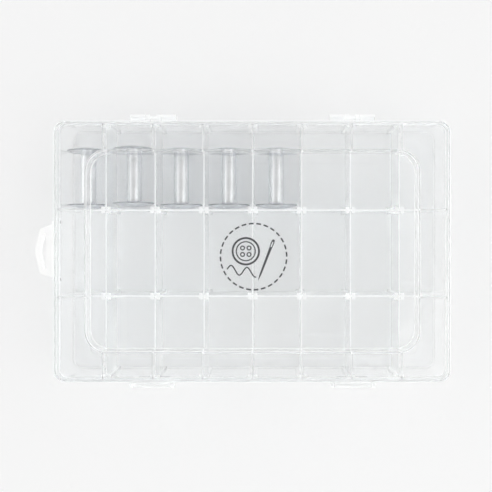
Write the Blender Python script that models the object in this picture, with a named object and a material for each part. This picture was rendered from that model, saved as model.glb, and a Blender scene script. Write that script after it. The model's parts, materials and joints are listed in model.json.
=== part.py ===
"""Sewing organiser: a shallow clear box of 24 compartments under a hinged, latched lid.

The box lies flat. +X runs along its length, +Y points to the hinges and +Z is up.
The origin is the centre of the box's underside. All lengths are in metres.
"""

from math import asin, atan2, cos, hypot, pi, radians, sin, tan

import bmesh
import bpy
from mathutils import Matrix, Vector

MM = 0.001

# ---------------------------------------------------------------- driving dimensions
LENGTH = 326 * MM            # over the rim, along X
DEPTH = 215 * MM             # over the rim, along Y
HEIGHT = 50 * MM             # underside to the top of the closed lid
RIM_RADIUS = 10 * MM         # plan radius of the rim's corners
SHOULDER_Z = 38 * MM         # the rim shoulder of the base, which the lid meets
TONGUE_Z = 39.5 * MM         # thin upstand of the base inside the lid's skirt
FLOOR = 1.6 * MM             # floor thickness
WALL = 1.4 * MM              # thickness of the two long row walls
GAP = 0.3 * MM               # clearance between pieces that touch
BITE = 0.4 * MM              # how far a moulded detail reaches into its wall

PITCH_X = 40.9 * MM          # spacing of the seven dividers in each row
ROW_WALL_YS = [-37.9 * MM, 34.3 * MM]
INNER_INSET = 2.3 * MM       # rim outline to the inner wall, at the floor
INNER_INSET_TOP = 1.9 * MM   # the same at the top, the draft of the moulding
ROW_WALL_TOP = 37.8 * MM

GUIDE_SLOT = 1.8 * MM        # slot between the two ribs of a divider guide
GUIDE_RIB = 3.1 * MM         # width of one rib
GUIDE_DEPTH = 2.1 * MM       # how far a rib stands off its wall
DIVIDER_THICK = 1.2 * MM
DIVIDER_PLAY = 0.35 * MM     # from each end of a divider to the wall it faces
DIVIDER_TOP = 37.7 * MM
DIVIDER_CORNER = 2.6 * MM    # cut corners at its foot, clear of the floor's fillet

SEAT_RADIUS = 5 * MM         # round seats sunk in the underside near its corners
SEAT_DEPTH = 0.5 * MM
SEAT_X = 141 * MM
SEAT_Y = 88 * MM

RECESS_HALF_X = 136 * MM     # the sunken panel in the middle of the lid
RECESS_HALF_Y = 82 * MM
RECESS_RADIUS = 17 * MM
PANEL_TOP = 40.4 * MM
LID_WALL = 1.6 * MM
LID_RIB_THICK = 1.2 * MM
LID_RIB_BOTTOM = 38.1 * MM

HINGE_X = 83 * MM            # centre of each hinge and each latch, left and right
HINGE_Y = 111.2 * MM
HINGE_Z = 38.2 * MM
HINGE_HALF = 19 * MM         # half of one hinge's length
KNUCKLE_RADIUS = 2.9 * MM
PIN_RADIUS = 1.3 * MM
CLIP_BORE = 1.6 * MM         # bore of the base's snap-on knuckles
CLIP_MOUTH = 1.1 * MM        # half of the mouth that the pin snaps through
CLIP_NEAR = 2.7 * MM         # a base knuckle spans this to CLIP_FAR from the hinge's centre
CLIP_FAR = 6.2 * MM

LATCH_Y = -110.4 * MM
LATCH_Z = 43.4 * MM
LATCH_HALF = 15.5 * MM
LATCH_BARREL = 2.4 * MM
LATCH_EAR = 2.6 * MM
EAR_THICK = 2.8 * MM
STUB_RADIUS = 1.2 * MM
STUB_LENGTH = 2.7 * MM
STUB_BORE = 1.5 * MM
CATCH_HALF = 13 * MM
CATCH_BOTTOM = 33 * MM
CATCH_FACE_Y = -109.4 * MM

HANDLE_X = -166 * MM         # pivot axis of the handle
HANDLE_Z = 36 * MM
HANDLE_HALF = 22.5 * MM
HANDLE_THICK = 3.6 * MM
HANDLE_REACH = 16.2 * MM
HANDLE_BARREL = 2.4 * MM
HANDLE_EAR_THICK = 2.4 * MM
HANDLE_STUB = 2.4 * MM

BOBBIN_XS = [x * MM for x in (-142.2, -102.9, -62.1, -21.0, 19.9)]
BOBBIN_Y = 62.3 * MM
BOBBIN_RADIUS = 18 * MM
BOBBIN_LENGTH = 51.6 * MM
BOBBIN_CORE = 6.5 * MM
BOBBIN_BORE = 5.6 * MM
FLANGE_HOLE = 4.2 * MM
FLANGE_FLAT = 9.5 * MM       # radius of the flat middle of a flange
FLANGE_DISH = 2.4 * MM       # how far its rim sits back from the flat middle
FLANGE_THICK = 0.8 * MM
BOBBIN_SHIFT = 1.6 * MM      # one bobbin lies this much nearer to the hinges

CORNER_STEPS = 6             # straight sides in each rounded corner of the shells
ROUND_STEPS = 16             # sides of pins and barrels
BOBBIN_STEPS = 24

# ---------------------------------------------------------------- derived dimensions
DIVIDER_XS = [k * PITCH_X for k in range(-3, 4)]
INNER_Y = DEPTH / 2 - INNER_INSET
ROW_SPANS = {
    "front": (-INNER_Y, ROW_WALL_YS[0] - WALL / 2),
    "middle": (ROW_WALL_YS[0] + WALL / 2, ROW_WALL_YS[1] - WALL / 2),
    "back": (ROW_WALL_YS[1] + WALL / 2, INNER_Y),
}


# ---------------------------------------------------------------- materials
def plastic(name, colour, roughness, transmission):
    """A moulded polypropylene, as clear as its transmission says."""
    made = bpy.data.materials.new(name)
    made.use_nodes = True
    shader = made.node_tree.nodes["Principled BSDF"]
    shader.inputs["Base Color"].default_value = (*colour, 1)
    shader.inputs["Roughness"].default_value = roughness
    shader.inputs["Transmission Weight"].default_value = transmission
    shader.inputs["IOR"].default_value = 1.49
    made.diffuse_color = (*colour, 1)
    return made


def metal(name, colour, roughness):
    """A bare metal."""
    made = plastic(name, colour, roughness, 0)
    made.node_tree.nodes["Principled BSDF"].inputs["Metallic"].default_value = 1
    return made


# ---------------------------------------------------------------- shape helpers
def rounded_polygon(corners, steps):
    """Points of a closed outline; each corner is (x, y, radius), counter-clockwise or not."""
    points = []
    count = len(corners)
    for k, (x, y, radius) in enumerate(corners):
        here = Vector((x, y))
        before = Vector(corners[k - 1][:2]) - here
        after = Vector(corners[(k + 1) % count][:2]) - here
        if radius <= 0:
            points.append(here)
            continue
        before.normalize()
        after.normalize()
        half = before.angle(after) / 2
        centre = here + (before + after).normalized() * (radius / sin(half))
        start = here + before * (radius / tan(half)) - centre
        end = here + after * (radius / tan(half)) - centre
        turn = atan2(start.x * end.y - start.y * end.x, start.dot(end))
        for step in range(steps + 1):
            angle = turn * step / steps
            points.append(centre + Matrix.Rotation(angle, 2) @ start)
    return points


def arc(radius, start_deg, end_deg, steps):
    """Points on an arc about the origin, from one angle to another."""
    angles = [radians(start_deg + (end_deg - start_deg) * k / steps) for k in range(steps + 1)]
    return [Vector((radius * cos(a), radius * sin(a))) for a in angles]


def rectangle_loop(half_x, half_y, radius, z):
    """A level rounded rectangle about the Z axis."""
    signs = [(-1, -1), (1, -1), (1, 1), (-1, 1)]
    corners = [(sx * half_x, sy * half_y, radius) for sx, sy in signs]
    return [Vector((p.x, p.y, z)) for p in rounded_polygon(corners, CORNER_STEPS)]


def rim_loop(inset, z):
    """The rim's outline moved in by inset, at height z."""
    radius = RIM_RADIUS - inset
    return rectangle_loop(LENGTH / 2 - inset, DEPTH / 2 - inset, radius, z)


def recess_loop(grow, z):
    """The lid's recess outline moved out by grow, at height z."""
    return rectangle_loop(RECESS_HALF_X + grow, RECESS_HALF_Y + grow, RECESS_RADIUS + grow, z)


def add_loft(mesh, loops):
    """Skins a row of loops with equal point counts and closes both ends."""
    rings = [[mesh.verts.new(point) for point in loop] for loop in loops]
    count = len(rings[0])
    for lower, upper in zip(rings, rings[1:]):
        for k in range(count):
            after = (k + 1) % count
            mesh.faces.new((lower[k], lower[after], upper[after], upper[k]))
    mesh.faces.new(rings[0])
    mesh.faces.new(rings[-1])


def add_prism(mesh, outline, place, low, high):
    """A prism of a flat outline; place(u, v, w) gives the point at depth w."""
    add_loft(mesh, [[place(p[0], p[1], w) for p in outline] for w in (low, high)])


def add_box(mesh, low, high):
    """A box between two opposite corners."""
    outline = [(low[0], low[1]), (high[0], low[1]), (high[0], high[1]), (low[0], high[1])]
    add_prism(mesh, outline, lambda u, v, w: Vector((u, v, w)), low[2], high[2])


def add_rod(mesh, radius, place, low, high):
    """A round rod along the depth of place."""
    outline = arc(radius, 0, 360 - 360 / ROUND_STEPS, ROUND_STEPS - 1)
    add_prism(mesh, outline, place, low, high)


def add_turned(mesh, profile, steps):
    """A closed (radius, height) profile turned about Z."""
    rings = []
    for step in range(steps):
        turn = Matrix.Rotation(2 * pi * step / steps, 4, "Z")
        rings.append([mesh.verts.new(turn @ Vector((r, 0, z))) for r, z in profile])
    count = len(profile)
    for step in range(steps):
        here = rings[step]
        there = rings[(step + 1) % steps]
        for k in range(count):
            after = (k + 1) % count
            mesh.faces.new((here[k], here[after], there[after], there[k]))


def across(y, z, outward):
    """Places (u, v) about a pivot that runs along X; outward is the side that +u points to."""
    return lambda u, v, w: Vector((w, y + outward * u, z + v))


def across_end(x, z):
    """Places (u, v) about a pivot that runs along Y; +u points to -X."""
    return lambda u, v, w: Vector((x - u, w, z + v))


def new_object(name, mesh, finish):
    """Makes an object of a closed mesh, with its faces pointing out and its round sides smooth."""
    bmesh.ops.recalc_face_normals(mesh, faces=mesh.faces)
    data = bpy.data.meshes.new(name)
    mesh.to_mesh(data)
    mesh.free()
    data.materials.append(finish)
    made = bpy.data.objects.new(name, data)
    bpy.context.scene.collection.objects.link(made)
    return made


def combine(target, helper_mesh, operation):
    """Joins helper shapes to an object, or cuts them from it."""
    helper = new_object("helper", helper_mesh, target.data.materials[0])
    change = target.modifiers.new("combine", "BOOLEAN")
    change.operation = operation
    change.object = helper
    evaluated = target.evaluated_get(bpy.context.evaluated_depsgraph_get())
    result = bpy.data.meshes.new_from_object(evaluated)
    target.modifiers.clear()
    for old in (helper.data, target.data):
        old.name = "spent"
    target.data = result
    result.name = target.name
    bpy.data.objects.remove(helper)


def finish_object(made, origin=(0, 0, 0)):
    """Shades round sides smooth and moves the object's origin without moving its shape."""
    made.data.transform(Matrix.Translation(-Vector(origin)))
    made.location = origin
    made.data.shade_smooth()
    made.data.set_sharp_from_angle(angle=radians(30))


# ---------------------------------------------------------------- base
def row_wall_outline(y):
    """Plan of one long row wall with the divider guides on both of its faces."""
    end = LENGTH / 2 - INNER_INSET_TOP + BITE
    face = WALL / 2
    tooth = face + GUIDE_DEPTH
    near = GUIDE_SLOT / 2
    far = near + GUIDE_RIB
    lower = [(-end, y - face)]
    for x in DIVIDER_XS:
        for inner, outer in ((-far, -near), (near, far)):
            lower += [(x + inner, y - face), (x + inner, y - tooth)]
            lower += [(x + outer, y - tooth), (x + outer, y - face)]
    lower.append((end, y - face))
    upper = [(x, 2 * y - v) for x, v in reversed(lower)]
    return lower + upper


def clip_outline():
    """Section of a base knuckle: an open ring on a web that joins the base's wall."""
    outer_mouth = asin(CLIP_MOUTH / KNUCKLE_RADIUS) * 180 / pi
    inner_mouth = asin(CLIP_MOUTH / CLIP_BORE) * 180 / pi
    web_top = -(HINGE_Z - SHOULDER_Z + GAP)
    meets = 180 + asin(-web_top / KNUCKLE_RADIUS) * 180 / pi
    wall = -(HINGE_Y - (DEPTH / 2 - INNER_INSET_TOP + BITE))
    outline = arc(KNUCKLE_RADIUS, outer_mouth, meets, 9)
    outline += [Vector((wall, web_top)), Vector((wall, -KNUCKLE_RADIUS))]
    outline += arc(KNUCKLE_RADIUS, 270, 360 - outer_mouth, 4)
    outline += arc(CLIP_BORE, 360 - inner_mouth, inner_mouth, 12)
    return outline


def ear_outline(radius, wall, web_bottom, web_top):
    """Section of a pivot ear: a round end on a web that reaches back to wall."""
    high = 180 - asin(web_top / radius) * 180 / pi
    low = -180 - asin(web_bottom / radius) * 180 / pi
    outline = arc(radius, low, high, 12)
    return outline + [Vector((-wall, web_top)), Vector((-wall, web_bottom))]


def make_base(finish):
    """Tray with its floor, walls, row walls, divider guides, knuckles, catches and ears."""
    mesh = bmesh.new()
    outside = [(2.4, 0), (1.35, 0.45), (0.9, 1.5), (0.6, 35.7), (0, 36)]
    loops = [rim_loop(inset * MM, z * MM) for inset, z in outside]
    loops += [rim_loop(0, SHOULDER_Z), rim_loop(1.1 * MM, SHOULDER_Z)]
    loops += [rim_loop(1.1 * MM, TONGUE_Z), rim_loop(INNER_INSET_TOP, TONGUE_Z)]
    loops += [rim_loop(INNER_INSET, FLOOR + 2 * MM)]
    loops += [rim_loop(INNER_INSET + 0.5 * MM, FLOOR + 0.5 * MM)]
    loops += [rim_loop(INNER_INSET + 2 * MM, FLOOR)]
    add_loft(mesh, loops)
    base = new_object("base_tray", mesh, finish)

    walls = bmesh.new()
    level = lambda u, v, w: Vector((u, v, w))
    for y in ROW_WALL_YS:
        add_prism(walls, row_wall_outline(y), level, FLOOR - BITE, ROW_WALL_TOP)
    inner = DEPTH / 2 - INNER_INSET_TOP
    for x in DIVIDER_XS:
        for side in (-1, 1):
            for rib in (-1, 1):
                near = x + rib * GUIDE_SLOT / 2
                far = near + rib * GUIDE_RIB
                ys = sorted((side * (inner - GUIDE_DEPTH), side * (inner + BITE)))
                low = (min(near, far), ys[0], FLOOR - BITE)
                add_box(walls, low, (max(near, far), ys[1], ROW_WALL_TOP))
    combine(base, walls, "UNION")

    details = bmesh.new()
    hinge = across(HINGE_Y, HINGE_Z, 1)
    for x in (-HINGE_X, HINGE_X):
        for side in (-1, 1):
            span = sorted((x + side * CLIP_NEAR, x + side * CLIP_FAR))
            add_prism(details, clip_outline(), hinge, *span)
        wall_y = -(DEPTH / 2 - INNER_INSET_TOP + BITE)
        low = (x - CATCH_HALF, CATCH_FACE_Y, CATCH_BOTTOM)
        add_box(details, low, (x + CATCH_HALF, wall_y, SHOULDER_Z - GAP))
    pivot = across_end(HANDLE_X, HANDLE_Z)
    wall = -HANDLE_X - (LENGTH / 2 - INNER_INSET_TOP + BITE)
    for side in (-1, 1):
        near = side * (HANDLE_HALF + GAP)
        span = sorted((near, near + side * HANDLE_EAR_THICK))
        outline = ear_outline(HANDLE_BARREL, wall, -HANDLE_BARREL + BITE / 2, 1.4 * MM)
        add_prism(details, outline, pivot, *span)
    combine(base, details, "UNION")

    holes = bmesh.new()
    for side in (-1, 1):
        span = sorted((side * HANDLE_HALF, side * (HANDLE_HALF + 2 * HANDLE_EAR_THICK)))
        add_rod(holes, STUB_BORE, pivot, *span)
    for x in (-SEAT_X, SEAT_X):
        for y in (-SEAT_Y, SEAT_Y):
            seat = lambda u, v, w, x=x, y=y: Vector((x + u, y + v, w))
            add_rod(holes, SEAT_RADIUS, seat, -SEAT_DEPTH, SEAT_DEPTH)
    combine(base, holes, "DIFFERENCE")
    finish_object(base)
    return base


# ---------------------------------------------------------------- lid
def barrel_outline():
    """Section of a lid knuckle: a round barrel on a web that joins the lid's skirt."""
    web_bottom = 0.5 * MM
    wall = HINGE_Y - (DEPTH / 2 - 0.6 * MM)
    low = 180 - asin(web_bottom / KNUCKLE_RADIUS) * 180 / pi
    outline = arc(KNUCKLE_RADIUS, low - 360, 90, 12)
    return outline + [Vector((-wall, KNUCKLE_RADIUS)), Vector((-wall, web_bottom))]


def lid_ribs(mesh):
    """Ribs under the raised border, which close it off above the dividers and row walls."""
    top = HEIGHT - LID_WALL + BITE / 2
    half = LID_RIB_THICK / 2
    inner_y = RECESS_HALF_Y + 1 * MM
    outer_y = DEPTH / 2 - 2.5 * MM
    for x in DIVIDER_XS:
        for side in (-1, 1):
            ys = sorted((side * inner_y, side * outer_y))
            add_box(mesh, (x - half, ys[0], LID_RIB_BOTTOM), (x + half, ys[1], top))
    inner_x = RECESS_HALF_X + 1 * MM
    outer_x = LENGTH / 2 - 2.5 * MM
    for y in ROW_WALL_YS:
        for side in (-1, 1):
            xs = sorted((side * inner_x, side * outer_x))
            add_box(mesh, (xs[0], y - half, LID_RIB_BOTTOM), (xs[1], y + half, top))


def make_lid(finish):
    """Lid with its skirt, raised border, sunken panel, ribs, knuckles with pins, and ears."""
    mesh = bmesh.new()
    under = HEIGHT - LID_WALL
    bottom = SHOULDER_Z + GAP
    rebate = TONGUE_Z + GAP
    loops = [recess_loop(-1.2 * MM, PANEL_TOP), recess_loop(-0.7 * MM, PANEL_TOP + 0.5 * MM)]
    loops += [recess_loop(0, HEIGHT - 0.4 * MM), recess_loop(0.4 * MM, HEIGHT)]
    loops += [rim_loop(1 * MM, HEIGHT), rim_loop(0.3 * MM, HEIGHT - 0.3 * MM)]
    loops += [rim_loop(0, HEIGHT - 1 * MM), rim_loop(0, bottom), rim_loop(0.8 * MM, bottom)]
    loops += [rim_loop(0.8 * MM, rebate), rim_loop(LID_WALL, rebate)]
    loops += [rim_loop(LID_WALL, under - 0.5 * MM), rim_loop(LID_WALL + 0.5 * MM, under)]
    loops += [recess_loop(LID_WALL, under)]
    loops += [recess_loop(0.8 * MM, PANEL_TOP - LID_WALL + 0.5 * MM)]
    loops += [recess_loop(0.3 * MM, PANEL_TOP - LID_WALL)]
    add_loft(mesh, loops)
    lid = new_object("hinged_lid", mesh, finish)

    ribs = bmesh.new()
    lid_ribs(ribs)
    combine(lid, ribs, "UNION")

    details = bmesh.new()
    hinge = across(HINGE_Y, HINGE_Z, 1)
    latch = across(LATCH_Y, LATCH_Z, -1)
    ear_wall = -LATCH_Y - (DEPTH / 2 - LID_WALL + BITE)
    for x in (-HINGE_X, HINGE_X):
        for side in (-1, 1):
            span = sorted((x + side * (CLIP_FAR + GAP), x + side * HINGE_HALF))
            add_prism(details, barrel_outline(), hinge, *span)
            near = LATCH_HALF + GAP
            span = sorted((x + side * near, x + side * (near + EAR_THICK)))
            web = LATCH_EAR - BITE / 2
            outline = ear_outline(LATCH_EAR, ear_wall, -web, web)
            add_prism(details, outline, latch, *span)
    combine(lid, details, "UNION")

    pins = bmesh.new()
    holes = bmesh.new()
    for x in (-HINGE_X, HINGE_X):
        reach = CLIP_FAR + 2 * MM
        add_rod(pins, PIN_RADIUS, hinge, x - reach, x + reach)
        reach = LATCH_HALF + 2 * EAR_THICK
        add_rod(holes, STUB_BORE, latch, x - reach, x + reach)
    combine(lid, pins, "UNION")
    combine(lid, holes, "DIFFERENCE")
    finish_object(lid, (0, HINGE_Y, HINGE_Z))
    return lid


# ---------------------------------------------------------------- dividers
def make_dividers(finish):
    """Removable cross dividers, seven in each row, standing in the base's guides."""
    half = DIVIDER_THICK / 2
    bottom = FLOOR + GAP
    corner = bottom + DIVIDER_CORNER
    for row, (front, back) in ROW_SPANS.items():
        end = (back - front) / 2 - DIVIDER_PLAY
        foot = end - DIVIDER_CORNER
        outline = [(-foot, bottom), (foot, bottom), (end, corner), (end, DIVIDER_TOP)]
        outline += [(-end, DIVIDER_TOP), (-end, corner)]
        mesh = bmesh.new()
        add_prism(mesh, outline, lambda u, v, w: Vector((w, u, v)), -half, half)
        first = new_object("divider", mesh, finish)
        for k, x in enumerate(DIVIDER_XS, 1):
            made = bpy.data.objects.new(f"divider_{row}_{k}", first.data)
            made.location = (x, (front + back) / 2, 0)
            bpy.context.scene.collection.objects.link(made)
        bpy.data.objects.remove(first)


# ---------------------------------------------------------------- latches
def latch_outline():
    """Section of a latch: barrel, plate, hook under the catch, and a flared finger lip."""
    inner = -0.6 * MM
    outer = 1.4 * MM
    start = atan2(-(LATCH_BARREL**2 - outer**2) ** 0.5, outer) * 180 / pi
    stop = 360 + atan2(-(LATCH_BARREL**2 - inner**2) ** 0.5, inner) * 180 / pi
    points = [(-0.6, -10.7), (-2.6, -10.7), (-2.6, -11.6), (-1.6, -12.8), (-0.6, -12.8)]
    points += [(-0.6, -14.5), (1.2, -19.4), (2.8, -19.0), (1.4, -14.0)]
    return arc(LATCH_BARREL, start, stop, 12) + [Vector((u, v)) * MM for u, v in points]


def make_latches(finish):
    """Two snap latches that hang from the lid and hook under the base's catches."""
    for name, x in (("latch_left", -HINGE_X), ("latch_right", HINGE_X)):
        mesh = bmesh.new()
        place = across(LATCH_Y, LATCH_Z, -1)
        add_prism(mesh, latch_outline(), place, x - LATCH_HALF, x + LATCH_HALF)
        made = new_object(name, mesh, finish)
        stubs = bmesh.new()
        reach = LATCH_HALF + STUB_LENGTH
        add_rod(stubs, STUB_RADIUS, place, x - reach, x + reach)
        combine(made, stubs, "UNION")
        finish_object(made, (x, LATCH_Y, LATCH_Z))


# ---------------------------------------------------------------- handle
def mirrored(corners):
    """Completes a half outline, given from its middle to its end, with its mirror image."""
    other = [(u, -v, radius) for u, v, radius in reversed(corners)]
    return [(u * MM, v * MM, radius * MM) for u, v, radius in corners + other]


def make_handle(finish):
    """Flat D-shaped loop that turns on two stubs in the ears of the left end wall."""
    place = across_end(HANDLE_X, HANDLE_Z)
    flat = lambda u, v, w: Vector((HANDLE_X - u, v, HANDLE_Z + w))
    reach = HANDLE_REACH / MM
    half = HANDLE_HALF / MM
    outside = mirrored([(reach, 3.5, 6), (12.2, 18.6, 2.5), (2.4, half, 1), (0, half, 0)])
    inside = mirrored([(reach - 5, 3, 5), (8.8, 15, 0.7), (7, 15, 0.7)])
    mesh = bmesh.new()
    add_prism(mesh, rounded_polygon(outside, 5), flat, -HANDLE_THICK / 2, HANDLE_THICK / 2)
    handle = new_object("carry_handle", mesh, finish)
    hole = bmesh.new()
    add_prism(hole, rounded_polygon(inside, 4), flat, -HANDLE_THICK, HANDLE_THICK)
    combine(handle, hole, "DIFFERENCE")
    barrel = bmesh.new()
    add_rod(barrel, HANDLE_BARREL, place, -HANDLE_HALF, HANDLE_HALF)
    combine(handle, barrel, "UNION")
    stubs = bmesh.new()
    span = HANDLE_HALF + HANDLE_STUB
    add_rod(stubs, STUB_RADIUS, place, -span, span)
    combine(handle, stubs, "UNION")
    finish_object(handle, (HANDLE_X, 0, HANDLE_Z))


# ---------------------------------------------------------------- bobbins
def make_bobbins(finish):
    """Pressed bobbins lying on the floor: a tube between two dished flanges."""
    half = BOBBIN_LENGTH / 2
    core = bmesh.new()
    end = half - FLANGE_THICK - GAP
    profile = [(BOBBIN_BORE, -end), (BOBBIN_CORE, -end), (BOBBIN_CORE, end), (BOBBIN_BORE, end)]
    add_turned(core, profile, BOBBIN_STEPS)
    flange = bmesh.new()
    face = half
    back = half - FLANGE_THICK
    profile = [(FLANGE_HOLE, back), (FLANGE_FLAT, back), (BOBBIN_RADIUS, back - FLANGE_DISH)]
    profile += [(BOBBIN_RADIUS, face - FLANGE_DISH), (FLANGE_FLAT, face), (FLANGE_HOLE, face)]
    add_turned(flange, profile, BOBBIN_STEPS)
    samples = [new_object("core", core, finish), new_object("flange", flange, finish)]
    for sample in samples:
        finish_object(sample)
    core_data, flange_data = [sample.data for sample in samples]
    for sample in samples:
        bpy.data.objects.remove(sample)

    pieces = [("core", core_data, 0), ("flange_back", flange_data, 0)]
    pieces += [("flange_front", flange_data, pi)]
    centre_z = FLOOR + GAP + BOBBIN_RADIUS
    for k, x in enumerate(BOBBIN_XS, 1):
        axis = bpy.data.objects.new(f"bobbin_{k}_axis", None)
        axis.location = (x, BOBBIN_Y + (BOBBIN_SHIFT if k == 2 else 0), centre_z)
        axis.rotation_euler = (-pi / 2, 0, 0)
        bpy.context.scene.collection.objects.link(axis)
        for name, data, turn in pieces:
            made = bpy.data.objects.new(f"bobbin_{k}_{name}", data)
            made.parent = axis
            made.rotation_euler = (turn, 0, 0)
            bpy.context.scene.collection.objects.link(made)


# ---------------------------------------------------------------- the whole object
def main():
    for old in list(bpy.data.objects):
        bpy.data.objects.remove(old)
    clear = plastic("clear_polypropylene", (0.90, 0.93, 0.93), 0.25, 0.9)
    white = plastic("white_polypropylene", (0.93, 0.93, 0.92), 0.35, 0)
    aluminium = metal("satin_aluminium", (0.72, 0.73, 0.75), 0.3)
    make_base(clear)
    make_lid(clear)
    make_dividers(clear)
    make_latches(clear)
    make_handle(white)
    make_bobbins(aluminium)


main()
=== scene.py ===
"""Looks of the sewing organiser: clear moulded polypropylene, a white loop and aluminium bobbins.

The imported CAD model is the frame. Each piece here is a finer body that stands for one CAD node
and rides on that node's CAD body. Lengths are in metres, +Z is up and +Y points to the hinges.
"""

import json
from math import asin, atan2, cos, hypot, pi, radians, sin, tan

import bmesh
import bpy
from mathutils import Matrix, Vector


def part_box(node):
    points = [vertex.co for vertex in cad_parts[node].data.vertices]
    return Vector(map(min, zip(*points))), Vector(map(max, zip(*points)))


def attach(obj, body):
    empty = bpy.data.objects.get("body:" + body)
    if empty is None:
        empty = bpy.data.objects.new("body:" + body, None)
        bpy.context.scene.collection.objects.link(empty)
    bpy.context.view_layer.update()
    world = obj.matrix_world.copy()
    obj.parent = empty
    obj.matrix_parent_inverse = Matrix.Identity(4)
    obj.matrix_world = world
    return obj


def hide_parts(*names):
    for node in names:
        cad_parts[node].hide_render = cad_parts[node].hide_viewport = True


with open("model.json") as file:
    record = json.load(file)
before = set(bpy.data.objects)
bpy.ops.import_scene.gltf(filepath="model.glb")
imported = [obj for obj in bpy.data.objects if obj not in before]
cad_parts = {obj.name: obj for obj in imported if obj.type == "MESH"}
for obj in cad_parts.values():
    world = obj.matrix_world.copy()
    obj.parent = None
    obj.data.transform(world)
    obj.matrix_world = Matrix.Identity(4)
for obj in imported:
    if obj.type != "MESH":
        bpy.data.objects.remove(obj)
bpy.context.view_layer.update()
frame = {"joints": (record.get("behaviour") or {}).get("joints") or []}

MM = 0.001

# ---------------------------------------------------------------- sizes, as in the CAD model
LID_LOW, LID_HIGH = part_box("hinged_lid")
DIVIDER_LOW, DIVIDER_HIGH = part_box("divider_middle_4")
PIVOTS = {joint["name"]: Vector(joint["pos_m"]) for joint in frame["joints"]}

HALF_X = LID_HIGH.x              # rim, half of its length
HALF_Y = 107.5 * MM              # rim, half of its depth
TOP = LID_HIGH.z
RIM_RADIUS = 10 * MM
SHOULDER = 38 * MM               # where the lid's skirt meets the base
TONGUE = 39.5 * MM
GAP = 0.3 * MM
BITE = 0.35 * MM                 # how far a moulded detail reaches into its wall
FLOOR = DIVIDER_LOW.z - GAP
INNER_TOP = 1.9 * MM             # rim outline to the inner wall, at the top
INNER_FLOOR = 2.3 * MM           # and at the floor
CORE_INSET = 12 * MM             # rim outline to the ring where the floor's flat middle starts

DIVIDER_THICK = DIVIDER_HIGH.x - DIVIDER_LOW.x
DIVIDER_LINES = [
    (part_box(f"divider_middle_{k}")[0].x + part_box(f"divider_middle_{k}")[1].x) / 2
    for k in range(1, 8)
]
ROW_WALLS = [
    (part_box("divider_front_4")[1].y + DIVIDER_LOW.y) / 2,
    (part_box("divider_back_4")[0].y + DIVIDER_HIGH.y) / 2,
]
ROW_WALL_TOP = DIVIDER_HIGH.z + 0.1 * MM
ROW_WALL_THICK = 1.4 * MM
GUIDE_SLOT = 1.8 * MM
GUIDE_RIB = 3.1 * MM
GUIDE_DEPTH = 2.1 * MM
SEAT_X = 141 * MM                # round seats sunk in the underside
SEAT_Y = 88 * MM
SEAT_RADIUS = 5 * MM
SEAT_DEPTH = 0.5 * MM

RECESS_X = 136 * MM
RECESS_Y = 82 * MM
RECESS_RADIUS = 17 * MM
PANEL = 40.4 * MM                # top of the sunken panel
LID_WALL = 1.6 * MM
LID_RIB_HALF = 0.6 * MM
LID_RIB_BOTTOM = 38.1 * MM

KNUCKLE = 2.9 * MM
PIN = 1.3 * MM
CLIP_BORE = 1.6 * MM
CLIP_MOUTH = 1.1 * MM
CLIP_SPAN = (2.7 * MM, 6.2 * MM)
HINGE_HALF = 19 * MM
BARREL = 2.4 * MM
LATCH_HALF = 15.5 * MM
LATCH_EAR = 2.6 * MM
EAR_THICK = 2.8 * MM
CATCH_HALF = 13 * MM
CATCH_BOTTOM = 33 * MM
CATCH_TOP = 37.7 * MM
CATCH_FACE = -109.4 * MM
STUB = 1.2 * MM
STUB_BORE = 1.5 * MM
HANDLE_HALF = 22.5 * MM
HANDLE_REACH = 16.2              # millimetres, like the rest of the loop's outline
HANDLE_THICK = 3.6 * MM
HANDLE_EAR = 2.4 * MM

BOBBIN_RADIUS = 18 * MM
BOBBIN_CORE = 6.5 * MM
BOBBIN_BORE = 5.6 * MM
FLANGE_HOLE = 4.2 * MM
FLANGE_FLAT = 9.5 * MM
FLANGE_SHEET = 0.8 * MM
FLANGE_BEAD = 0.55 * MM

CORNER_STEPS = 14                # segments round a plan corner
FILLET_STEPS = 4                 # round a small fillet
ROUND_STEPS = 32                 # and round a pin


# ---------------------------------------------------------------- outlines
def fillet(corners, steps, closed=True):
    """Rounds the corners of an outline; each is (x, y, radius). An open one keeps its ends."""
    points = []
    count = len(corners)
    for k, (x, y, radius) in enumerate(corners):
        here = Vector((x, y))
        if radius <= 0 or (not closed and k in (0, count - 1)):
            points.append(here)
            continue
        before = (Vector(corners[k - 1][:2]) - here).normalized()
        after = (Vector(corners[(k + 1) % count][:2]) - here).normalized()
        half = before.angle(after) / 2
        centre = here + (before + after).normalized() * (radius / sin(half))
        start = here + before * (radius / tan(half)) - centre
        end = here + after * (radius / tan(half)) - centre
        turn = atan2(start.x * end.y - start.y * end.x, start.dot(end))
        for step in range(steps + 1):
            points.append(centre + Matrix.Rotation(turn * step / steps, 2) @ start)
    return points


def arc(radius, start, end, steps):
    """Points on an arc about the origin, between two angles in degrees."""
    angles = [radians(start + (end - start) * k / steps) for k in range(steps + 1)]
    return [Vector((radius * cos(a), radius * sin(a))) for a in angles]


def inset(outline, distance):
    """Moves each side of a closed outline inwards by distance."""
    area = sum(p.cross(q) for p, q in zip(outline, outline[1:] + outline[:1]))
    side = 1 if area > 0 else -1
    moved = []
    for k, here in enumerate(outline):
        into = (here - outline[k - 1]).normalized()
        out = (outline[(k + 1) % len(outline)] - here).normalized()
        normals = [Vector((-d.y, d.x)) * side for d in (into, out)]
        mitre = normals[0] + normals[1]
        moved.append(here + mitre * (distance / mitre.dot(normals[0])))
    return moved


def rounded_loop(half_x, half_y, radius, z):
    """A level rounded rectangle about the Z axis."""
    signs = [(-1, -1), (1, -1), (1, 1), (-1, 1)]
    corners = [(sx * half_x, sy * half_y, radius) for sx, sy in signs]
    return [Vector((p.x, p.y, z)) for p in fillet(corners, CORNER_STEPS)]


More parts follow.
